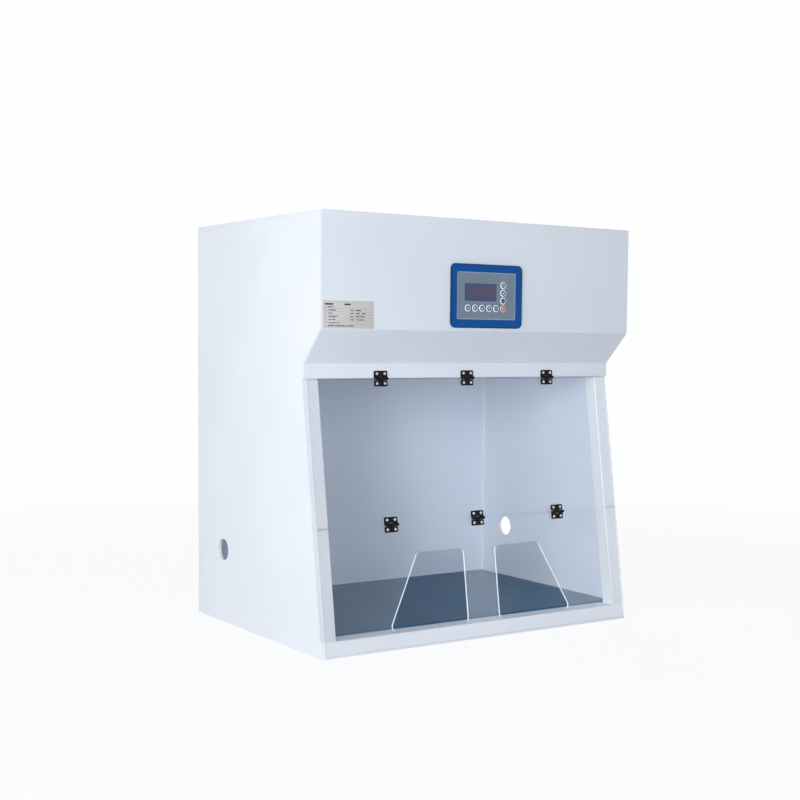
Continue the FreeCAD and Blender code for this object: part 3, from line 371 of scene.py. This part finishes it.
def control_membrane(name):
    """Grey face of the control panel with a paler border, inside a blue printed margin."""
    finish = Finish(name, specular_ior_level=0.22)
    low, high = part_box("control_face")
    depth = finish.inset(low + Vector((0, 0, 0.0022)), high - Vector((0.0055, 0, 0.0006)))
    border = 1 - depth.ramp(0.0016, 0.0030)
    first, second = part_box("key_row_1"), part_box("key_row_2")
    x, y, z = finish.axes()
    from_middle = abs(x - (first[0].x + second[1].x) / 2)
    from_row = abs(z - (first[0].z + first[1].z) / 2)
    cloud = finish.noise(22.0, 3.0)
    sand = finish.noise(900.0, 1.0)
    grey = finish.mix(cloud, (0.150, 0.205, 0.265), (0.185, 0.235, 0.300))
    grey = finish.mix((from_middle < 0.006) * (from_row < 0.0055), grey, (0.008, 0.075, 0.290))
    grey = finish.mix(border, grey, (0.27, 0.36, 0.52))
    finish.set(base_color=finish.mix(depth < 0.0, grey, BEZEL_BLUE), roughness=0.34 + sand * 0.08)
    return finish.relief(sand, 0.00003, 0.0003)


def display_glass(name):
    """Unlit display: blue mask round a grey field with four digits that barely show."""
    finish = Finish(name, specular_ior_level=0.2)
    low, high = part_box("display_window")
    x, y, z = finish.axes()
    depth = finish.inset(low, high)
    mask = 1 - depth.ramp(0.0065, 0.0090)
    margin, digits, gap, stroke = 0.014, 4, 0.007, 0.0016
    pitch = (high.x - low.x - 2 * margin) / digits
    edge = (pitch - gap) / 2
    across = abs((x - (low.x + margin)) % pitch - pitch / 2)
    rise = abs(z - (low.z + high.z) / 2)
    bars = (across < edge - 0.001) * (rise < stroke / 2).most(rise.between(0.0100, 0.0100 + stroke))
    posts = across.between(edge - stroke, edge) * rise.between(0.0012, 0.0098)
    segments = bars.most(posts) * (depth > 0.010)
    cloud = finish.noise(38.0, 3.0)
    field = finish.mix(cloud, (0.036, 0.048, 0.110), (0.054, 0.046, 0.100))
    field = finish.mix(segments * 0.35, field, (0.130, 0.040, 0.060))
    finish.set(base_color=finish.mix(mask, field, (0.018, 0.052, 0.175)), roughness=0.12 + cloud * 0.08)
    return finish.relief(cloud, 0.00002, 0.0003)


def reach(x, z):
    """How far a point lies from the middle of a key."""
    return (x * x + z * z) ** 0.5


def menu_mark(x, z):
    """Three short bars."""
    rows = (abs(z) < 0.0005).most(abs(abs(z) - 0.0022) < 0.0005)
    return rows * (abs(x) < 0.0032)


def arrow_mark(across, along, way):
    """Triangle that points one way along an axis."""
    return (along * way > -0.0022) * (abs(across) * 0.9 + along * way < 0.0024)


def power_mark(x, z):
    """Ring that is open at its top, with a stroke in the gap."""
    return reach(x, z).between(0.0024, 0.0036) * (z < 0.0026) + (abs(x) < 0.0006) * z.between(0.0002, 0.0042)


def lamp_mark(x, z):
    """Small disc with eight rays."""
    out = reach(x, z)
    turn = z.angle_from(x) / (math.pi / 4)
    rays = (turn % 1.0).between(0.38, 0.62) * out.between(0.0030, 0.0045)
    return (out < 0.0020).most(rays)


def fan_mark(x, z):
    """Three swept blades round a hub."""
    out = reach(x, z)
    turn = z.angle_from(x) / (math.pi / 1.5) + out * 90.0
    blades = (turn % 1.0).between(0.0, 0.36) * out.between(0.0012, 0.0044)
    return blades.most(out < 0.0008)


KEY_MARKS = {
    "key_row_1": menu_mark,
    "key_row_2": lambda x, z: arrow_mark(z, x, 1),
    "key_row_3": lambda x, z: arrow_mark(x, z, 1),
    "key_row_4": lambda x, z: arrow_mark(x, z, -1),
    "key_row_5": lambda x, z: reach(x, z) < 0.0020,
    "key_red": power_mark,
    "key_column_1": lambda x, z: reach(x, z) < 0.0009,
    "key_column_2": lamp_mark,
    "key_column_3": fan_mark,
}


def key_cap(node):
    """Cap with a pale ring round its edge, a plain printed mark and grey sides."""
    finish = Finish("cap_" + node, specular_ior_level=0.3)
    low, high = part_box(node)
    x, y, z = finish.axes()
    x, z = x - (low.x + high.x) / 2, z - (low.z + high.z) / 2
    cap, ring = ((0.52, 0.055, 0.065), (0.86, 0.52, 0.52)) if node == "key_red" else (
        (0.004, 0.050, 0.175), (0.91, 0.94, 0.99))
    cloud = finish.noise(60.0)
    top = finish.mix(cloud * 0.4, cap, toned(cap, 0.7))
    top = finish.mix(KEY_MARKS[node](x, z) * 0.8, top, (0.84, 0.88, 0.95))
    top = finish.mix(reach(x, z).ramp(0.0065, 0.0069), top, ring)
    front = finish.facing((0.0, -1.0, 0.0)).ramp(0.5, 0.8)
    finish.set(base_color=finish.mix(front, (0.12, 0.17, 0.26), top), roughness=0.26 + cloud * 0.08)
    return finish.relief(cloud, 0.00003, 0.0004)


def pleated_mat(name):
    """Matted white fibres of the first filter."""
    finish = Finish(name, sheen_weight=0.2)
    fibres = finish.noise(700.0, 4.0)
    cloud = finish.noise(30.0, 3.0)
    finish.set(base_color=finish.mix(cloud, (0.80, 0.82, 0.84), (0.70, 0.72, 0.74)),
               roughness=0.85 + fibres * 0.1)
    return finish.relief(fibres, 0.0004)


def carbon_grains(name):
    """Loose black grains."""
    finish = Finish(name)
    grains = finish.node("ShaderNodeTexVoronoi", inputs={"Vector": finish.place(), "Scale": 380.0})
    cloud = finish.noise(120.0)
    finish.set(base_color=finish.mix(cloud, (0.012, 0.012, 0.013), (0.035, 0.035, 0.037)),
               roughness=0.5 + cloud * 0.3)
    return finish.relief(grains, 0.0015)


def circuit_lacquer(name):
    """Green lacquer over copper tracks."""
    finish = Finish(name, coat_weight=0.3)
    tracks = finish.noise(160.0, 0.0, finish.stretched((1.0, 1.0, 4.0)))
    finish.set(base_color=finish.mix(tracks.ramp(0.48, 0.52), (0.020, 0.130, 0.050), (0.035, 0.210, 0.080)),
               roughness=0.35 + tracks * 0.1)
    return finish.relief(tracks, 0.00005)


def opal_plastic(name):
    """Opal cover of the chamber lamp."""
    finish = Finish(name)
    cloud = finish.noise(18.0)
    finish.set(base_color=finish.mix(cloud, (0.88, 0.90, 0.91), (0.82, 0.84, 0.86)),
               roughness=0.4 + cloud * 0.1)
    return finish.relief(finish.noise(500.0, 1.0), 0.00005, 0.0005)


def ruled_card(name):
    """Blank card: ruled rows, counted from the lowest, and plain bars where entries would be."""
    finish = Finish(name, specular_ior_level=0.35)
    x, y, z = finish.axes()
    along, rise = x - CARD_LOW.x, z - CARD_LOW.z
    wide, tall = CARD_HIGH.x - CARD_LOW.x, CARD_HIGH.z - CARD_LOW.z
    inside = along.between(CARD_MARGIN, wide - CARD_MARGIN) * rise.between(CARD_MARGIN, tall - CARD_MARGIN)
    count = (rise - FIRST_RULE) / CARD_ROW
    level = (count % 1.0) * CARD_ROW
    row = count - count % 1.0
    rules = (level < 0.0006) * inside * (row < CARD_ROWS - 0.5)

    def entries(left, ends, first_row=0):
        """A bar in each row, from the left of its column to that row's own end."""
        return sum((abs(row - number) < 0.5) * along.between(left, end)
                   for number, end in enumerate(ends, first_row))

    words = finish.noise(1.0, 0.0, finish.stretched((260.0, 0.0, 1.0 / CARD_ROW))) > 0.38
    column = entries(0.016, (0.090, 0.050, 0.037, 0.045, 0.028, 0.038, 0.035))
    column = column + entries(0.096, (0.120, 0.122, 0.124, 0.111), 2)
    signs = along.between(0.007, 0.011) * row.between(-0.5, CARD_ROWS - 0.5)
    signs = signs + along.between(0.080, 0.090) * row.between(1.5, 5.5)
    bars = (column * words).most(signs * 0.8) * level.between(CARD_ROW * 0.36, CARD_ROW * 0.68)
    title = along.between(0.007, 0.031).most(along.between(0.063, 0.081))
    title = title * rise.between(tall - 0.0110, tall - 0.0070)
    cloud = finish.noise(26.0, 3.0)
    paper = finish.mix(cloud, (0.67, 0.625, 0.60), (0.59, 0.555, 0.55))
    inked = finish.mix(rules * 0.9, paper, (0.28, 0.27, 0.28))
    inked = finish.mix(bars.most(title), inked, (0.024, 0.024, 0.038))
    finish.set(base_color=inked, roughness=0.42 + cloud * 0.08)
    return finish.relief(cloud, 0.00003, 0.0002)


def dress(finish, *names):
    """Gives a finish to pieces that are already in the scene."""
    for name in names:
        piece = nodes[name] if name in nodes else bpy.data.objects[name]
        piece.data.materials.clear()
        piece.data.materials.append(finish.material)


def clear_selection():
    """Leaves nothing selected."""
    bpy.ops.object.select_all(action="DESELECT")


def choose_piece(piece):
    """Makes a piece the only one that is selected."""
    clear_selection()
    piece.select_set(True)
    bpy.context.view_layer.objects.active = piece


def begin(name):
    """The new primitive under its own name, with its place moved into its mesh."""
    piece = bpy.context.object
    piece.name = name
    piece.data.name = name
    choose_piece(piece)
    bpy.ops.object.transform_apply(location=True, rotation=True, scale=True)
    return piece


def choose(piece, kind, wanted):
    """Selects the faces or edges that the test picks, in edit mode."""
    bpy.ops.mesh.select_all(action="DESELECT")
    bpy.ops.mesh.select_mode(type=kind)
    shape = bmesh.from_edit_mesh(piece.data)
    for part in {"FACE": shape.faces, "EDGE": shape.edges}[kind]:
        part.select = wanted(part)
    shape.select_flush_mode()
    bmesh.update_edit_mesh(piece.data)


def joined(pieces, name):
    """The pieces as one object of that name."""
    clear_selection()
    for piece in pieces:
        piece.select_set(True)
    bpy.context.view_layer.objects.active = pieces[0]
    bpy.ops.object.join()
    pieces[0].name = name
    pieces[0].data.name = name
    return pieces[0]


def copies(piece, places, name):
    """Copies of a piece at each place, joined in one object."""
    made = []
    for place in places:
        twin = piece.copy()
        twin.data = piece.data.copy()
        bpy.context.scene.collection.objects.link(twin)
        twin.data.transform(place)
        made.append(twin)
    bpy.data.objects.remove(piece)
    return joined(made, name)


def cut_away(piece, cutter):
    """Takes the form of a cutter out of a piece."""
    recess = piece.modifiers.new("recess", "BOOLEAN")
    recess.object = cutter
    recess.operation = "DIFFERENCE"
    recess.solver = "EXACT"
    choose_piece(piece)
    bpy.ops.object.modifier_apply(modifier="recess")
    bpy.data.objects.remove(cutter)


def cross_screw(radius, head_radius, head_height, length, sunk):
    """Screw along -Z with a cross recess: a domed head on its seat, or a flat one sunk flush."""
    low, high = (-head_height, 0.0) if sunk else (0.0, head_height)
    clear_selection()
    bpy.ops.mesh.primitive_cylinder_add(vertices=32, radius=head_radius, depth=head_height,
                                        location=(0, 0, (low + high) / 2))
    screw = begin("screw")
    bpy.ops.object.mode_set(mode="EDIT")
    choose(screw, "FACE", lambda face: face.normal.z < -0.9)
    if sunk:
        bpy.ops.transform.resize(value=(radius / head_radius, radius / head_radius, 1))
    else:
        bpy.ops.mesh.inset(thickness=head_radius - radius)
    bpy.ops.mesh.extrude_region_move(TRANSFORM_OT_translate={"value": (0, 0, -length - low)})
    if not sunk:
        choose(screw, "EDGE", lambda edge: all(vert.co.z > high / 2 for vert in edge.verts))
        bpy.ops.mesh.bevel(offset=head_height * 0.7, segments=4, profile=0.5)
    bpy.ops.object.mode_set(mode="OBJECT")
    for turn in (0, math.pi / 2):
        clear_selection()
        bpy.ops.mesh.primitive_cube_add(size=1, location=(0, 0, high), rotation=(0, 0, turn),
                                        scale=(head_radius * 1.2, head_radius * 0.3, head_height * 1.5))
        cut_away(screw, begin("recess"))
    bpy.ops.object.shade_smooth_by_angle(angle=math.radians(35))
    return screw


def hinge_screws(name, rows, body, node):
    """The hinge screws of one body, each stopped at its own angle.

    A row has the axis of its hinges, the lean of its leaves and its side of the axis.
    """
    screw = cross_screw(radius=0.002, head_radius=0.0038, head_height=0.0012, length=0.0063, sunk=False)
    places = []
    for axis, lean, side in rows:
        seat = Matrix.Translation(axis) @ Matrix.Rotation(-lean, 4, "X")
        for hinge in (-1, 0, 1):
            for hand in (-1, 1):
                spot = Vector((hinge * HINGE_PITCH + hand * SCREW_SIDE, LEAF_FRONT, side * SCREW_ROW))
                turn = Matrix.Rotation(math.radians(17 + 31 * hinge + 23 * hand + 11 * side), 4, "Z")
                places.append(seat @ Matrix.Translation(spot) @ Matrix.Rotation(math.pi / 2, 4, "X") @ turn)
    group = copies(screw, places, name)
    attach(group, body)
    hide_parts(node)
    return group


def sunk_screws(name, node):
    """Flush screws of the top cover, at the centres of the plain ones they stand for."""
    low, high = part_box(node)
    head, rows, below_top = 0.0034, 4, 0.00002
    screw = cross_screw(radius=0.0017, head_radius=head, head_height=0.0017, length=0.021, sunk=True)
    places = []
    for x in (low.x + head, high.x - head):
        for row in range(rows):
            y = low.y + head + row * (high.y - low.y - 2 * head) / (rows - 1)
            turn = Matrix.Rotation(0.7 * row + x, 4, "Z")
            places.append(Matrix.Translation((x, y, high.z - below_top)) @ turn)
    group = copies(screw, places, name)
    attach(group, "cabinet")
    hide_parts(node)
    return group


def card_on_fascia(name):
    """Thin card with rounded corners at the lower left of the fascia."""
    middle = (CARD_LOW + CARD_HIGH) / 2
    clear_selection()
    bpy.ops.mesh.primitive_cube_add(size=1, location=middle, scale=CARD_HIGH - CARD_LOW)
    card = begin(name)
    bpy.ops.object.mode_set(mode="EDIT")
    choose(card, "EDGE", lambda edge: abs((edge.verts[0].co - edge.verts[1].co).normalized().y) > 0.9)
    bpy.ops.mesh.bevel(offset=0.002, segments=4, profile=0.5)
    choose(card, "EDGE", lambda edge: all(vert.co.y < middle.y for vert in edge.verts))
    bpy.ops.mesh.bevel(offset=0.00012, segments=2, profile=0.5)
    bpy.ops.object.mode_set(mode="OBJECT")
    bpy.ops.object.shade_smooth_by_angle(angle=math.radians(30))
    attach(card, "cabinet")
    return card


def bead(foot, head, radius, ripple):
    """A hand-laid bead from one point to another, a little uneven in its thickness."""
    run = head - foot
    clear_selection()
    bpy.ops.mesh.primitive_cylinder_add(vertices=12, radius=radius, depth=run.length,
                                        location=(foot + head) / 2,
                                        rotation=run.to_track_quat("Z", "Y").to_euler())
    piece = begin("bead")
    bpy.ops.object.mode_set(mode="EDIT")
    choose(piece, "EDGE", lambda edge: edge.calc_length() > run.length * 0.9)
    bpy.ops.mesh.subdivide(number_cuts=60)
    bpy.ops.object.mode_set(mode="OBJECT")
    pattern = bpy.data.textures.new("ripple", "CLOUDS")
    pattern.noise_scale = 0.02
    uneven = piece.modifiers.new("uneven", "DISPLACE")
    uneven.texture = pattern
    uneven.texture_coords = "LOCAL"
    uneven.mid_level = 1.0
    uneven.strength = ripple
    bpy.ops.object.modifier_apply(modifier="uneven")
    bpy.ops.object.shade_smooth_by_angle(angle=math.radians(40))
    return piece


def bead_pair(name, foot, head, radius, ripple):
    """A bead on the left of the cabinet and the same on its right."""
    pair = []
    for hand in (-1, 1):
        ends = [Vector((hand * end.x, end.y, end.z)) for end in (foot, head)]
        pair.append(bead(*ends, radius, ripple))
    group = joined(pair, name)
    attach(group, "cabinet")
    return group


def wall_beads(name):
    """Beads up the two back corners of the chamber."""
    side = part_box("side_panel_right")[0].x
    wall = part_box("inner_back_wall")[0].y
    foot = Vector((side, wall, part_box("worktop")[1].z + 0.0005))
    head = Vector((side, wall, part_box("filter_shelf")[0].z - 0.0005))
    return bead_pair(name, foot, head, radius=0.0034, ripple=0.0008)


def post_beads(name):
    """Thin beads up the inner front edges of the two leaning posts."""
    low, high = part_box("post_right")
    radius = 0.0017

    def on_edge(z):
        """The middle of the right bead at a height."""
        return Vector((low.x, low.y + (z - low.z) * math.tan(SASH_TILT) + 1.1 * radius, z))

    foot, head = on_edge(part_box("front_sill")[1].z + 0.001), on_edge(high.z - 0.004)
    return bead_pair(name, foot, head, radius, ripple=0.0001)


def soft_lamp(name, place, height, size, watts, colour=LAMP_WHITE):
    """Square lamp that is turned to the middle of the cabinet at a height."""
    clear_selection()
    bpy.ops.object.light_add(type="AREA", location=place)
    lamp = bpy.context.object
    lamp.name = name
    lamp.data.size = size
    lamp.data.energy = watts
    lamp.data.color = colour
    lamp.rotation_euler = (Vector((0, 0, height)) - Vector(place)).to_track_quat("-Z", "Y").to_euler()
    return lamp


def studio():
    """Pale floor and surroundings that show as near white, and soft lamps."""
    clear_selection()
    bpy.ops.mesh.primitive_plane_add(size=60, location=(0, 0, -0.0005))
    floor = begin("floor")
    paper = Finish("floor_paper", roughness=0.9, specular_ior_level=0.0)
    paper.set(base_color=paper.mix(paper.noise(0.8), (0.80, 0.815, 0.83), (0.82, 0.835, 0.85)))
    glow = paper.node("ShaderNodeEmission", inputs={"Color": BACKDROP_WHITE, "Strength": 1.0})
    # Near the cabinet the floor shows a little of its shadow, and far off only the colour of the backdrop.
    near_share, near, far = 0.93, 1.5, 16.0
    x, y, z = paper.axes()
    away = (x * x + y * y).ramp(near, far)
    dress(paper.blend(paper.seen() * (near_share + away * (1 - near_share)), glow), "floor")

    world = bpy.data.worlds.new("studio")
    bpy.context.scene.world = world
    world.use_nodes = True
    sky = ShaderTree(world.node_tree, "Background", "World Output")
    sky.set(color=(0.86, 0.93, 1.0), strength=0.30)
    sky.blend(sky.seen(), sky.node("ShaderNodeBackground", inputs={"Color": BACKDROP_WHITE}))

    soft_lamp("left_lamp", (-4.1, -1.1, 0.9), 0.5, 1.6, 56)
    soft_lamp("key_lamp", (-3.1, -2.8, 1.2), 0.5, 1.2, 60)
    soft_lamp("front_lamp", (-0.6, -4.2, 1.3), 0.5, 1.5, 22)
    soft_lamp("right_lamp", (2.75, -3.4, 0.9), 0.6, 1.5, 14)
    soft_lamp("back_lamp", (1.6, 3.6, 2.6), 0.8, 2.5, 40, (0.97, 0.98, 1.0))


def set_camera():
    """The photographer's place, found by lining up the cabinet's corners."""
    place = Vector((-2.1690, -3.2161, 0.7849))
    yaw, pitch, roll = math.radians(33.728), math.radians(4.156), math.radians(0.523)
    ahead = Vector((math.sin(yaw) * math.cos(pitch), math.cos(yaw) * math.cos(pitch), -math.sin(pitch)))
    level = Vector((math.cos(yaw), -math.sin(yaw), 0))
    right = math.cos(roll) * level + math.sin(roll) * level.cross(ahead)
    up = right.cross(ahead)
    clear_selection()
    bpy.ops.object.camera_add()
    camera = bpy.context.object
    camera.matrix_world = Matrix.Translation(place) @ Matrix((right, up, -ahead)).transposed().to_4x4()
    camera.data.sensor_width = SENSOR_WIDTH
    camera.data.lens = SENSOR_WIDTH * FOCAL_PIXELS / FRAME_WIDTH
    camera.data.shift_x = (FRAME_WIDTH / 2 - CENTRE_X) / FRAME_WIDTH
    camera.data.shift_y = (CENTRE_Y - FRAME_WIDTH / 2) / FRAME_WIDTH
    bpy.context.scene.camera = camera


hinge_screws("rail_screws", [(RAIL_AXIS, 0.0, 1)], "cabinet", "rail_leaf_screws")
hinge_screws("upper_screws", [(RAIL_AXIS, SASH_TILT, -1), (SEAM_AXIS, SASH_TILT, 1)],
             "upper_sash", "upper_sash_screws")
hinge_screws("lower_screws", [(SEAM_AXIS, SASH_TILT, -1)], "lower_sash", "lower_sash_screws")
sunk_screws("top_screws", "cover_screws")
card_on_fascia("blank_card")
wall_beads("wall_beads")
post_beads("post_beads")

# Boards of the cabinet, all one white plastic, each toned to how pale it looks in this light: the darker,
# bluer posts, fascia and liner carry painted shade and the paler sill painted light.
dress(white_board("cabinet_board"),
      "back_panel", "top_cover", "base_board", "worktop_bearers", "plenum_partition", "fan_deck")
dress(white_board("sill_board", (0.87, 0.885, 0.93)), "front_sill")
dress(white_board("left_board", SIDE_WHITE, (1.0, 0.0, 0.0)), "side_panel_left")
dress(white_board("right_board", SIDE_WHITE, (-1.0, 0.0, 0.0)), "side_panel_right")
dress(white_board("left_post_board", (0.72, 0.74, 0.80), (1.0, 0.0, 0.0), POST_INSIDE_PAINTED_LIGHT), "post_left")
dress(white_board("right_post_board", (0.775, 0.79, 0.85), (-1.0, 0.0, 0.0), POST_INSIDE_PAINTED_LIGHT), "post_right")
dress(white_board("fascia_board", (0.755, 0.795, 0.86)), "fascia")
dress(white_board("liner_board", (0.79, 0.865, 0.975)), "inner_back_wall", "filter_shelf")
# The beads are a paler white than the boards they join: a painted highlight along the back corners and the
# posts' inner front edges.
bead_painted_highlight = moulded("bead_plastic", (0.97, 0.98, 0.99), 0.12, edge=0.0, gloss=1.0, variation=0.01)
dress(bead_painted_highlight.set(coat_weight=1.0), "wall_beads", "post_beads")

# Worktop, sash and hinges.
dress(worktop_panel("worktop_resin"), "worktop")
dress(clear_acrylic("sash_acrylic"), "upper_sash", "lower_sash")
dress(moulded("hinge_nylon", (0.0022, 0.0023, 0.0028), 0.5, depth=0.00008, gloss=0.14),
      *[name for name in nodes if "_hinge_" in name and not name.endswith("pins")])
dress(metal("pin_steel", (0.50, 0.51, 0.53), 0.30, (60.0, 1.0, 1.0)), "rail_hinge_pins", "seam_hinge_pins")
dress(metal("screw_steel", (0.50, 0.50, 0.53), 0.30),
      "rail_screws", "upper_screws", "lower_screws", "top_screws")

# Control panel and card.
dress(bezel_plastic("bezel"), "control_bezel")
dress(control_membrane("membrane"), "control_face")
dress(display_glass("display"), "display_window")
for key in KEY_MARKS:
    dress(key_cap(key), key)
dress(ruled_card("ruled_card"), "blank_card")

# Filters, lamp, fan and electrics.
dress(pleated_mat("filter_mat"), "prefilter")
dress(moulded("case_paint", (0.66, 0.69, 0.72), 0.4), "carbon_filter_case", "lamp_tray")
dress(carbon_grains("carbon"), "carbon_bed")
dress(opal_plastic("opal_cover"), "lamp_diffuser")
dress(moulded("led_board", (0.85, 0.85, 0.80), 0.4), "led_strip")
dress(metal("galvanised", (0.58, 0.60, 0.62), 0.34), "inlet_ring", "motor_bridge", "control_box")
dress(moulded("impeller_plastic", (0.020, 0.021, 0.023), 0.45, depth=0.0001), "fan_impeller")
dress(moulded("motor_paint", (0.035, 0.036, 0.040), 0.5, grain=240.0, depth=0.0003), "fan_motor")
dress(circuit_lacquer("circuit_lacquer"), "control_board")
dress(moulded("inlet_plastic", (0.016, 0.016, 0.017), 0.38), "power_inlet")

studio()
set_camera()
bpy.context.scene.view_settings.view_transform = "Standard"
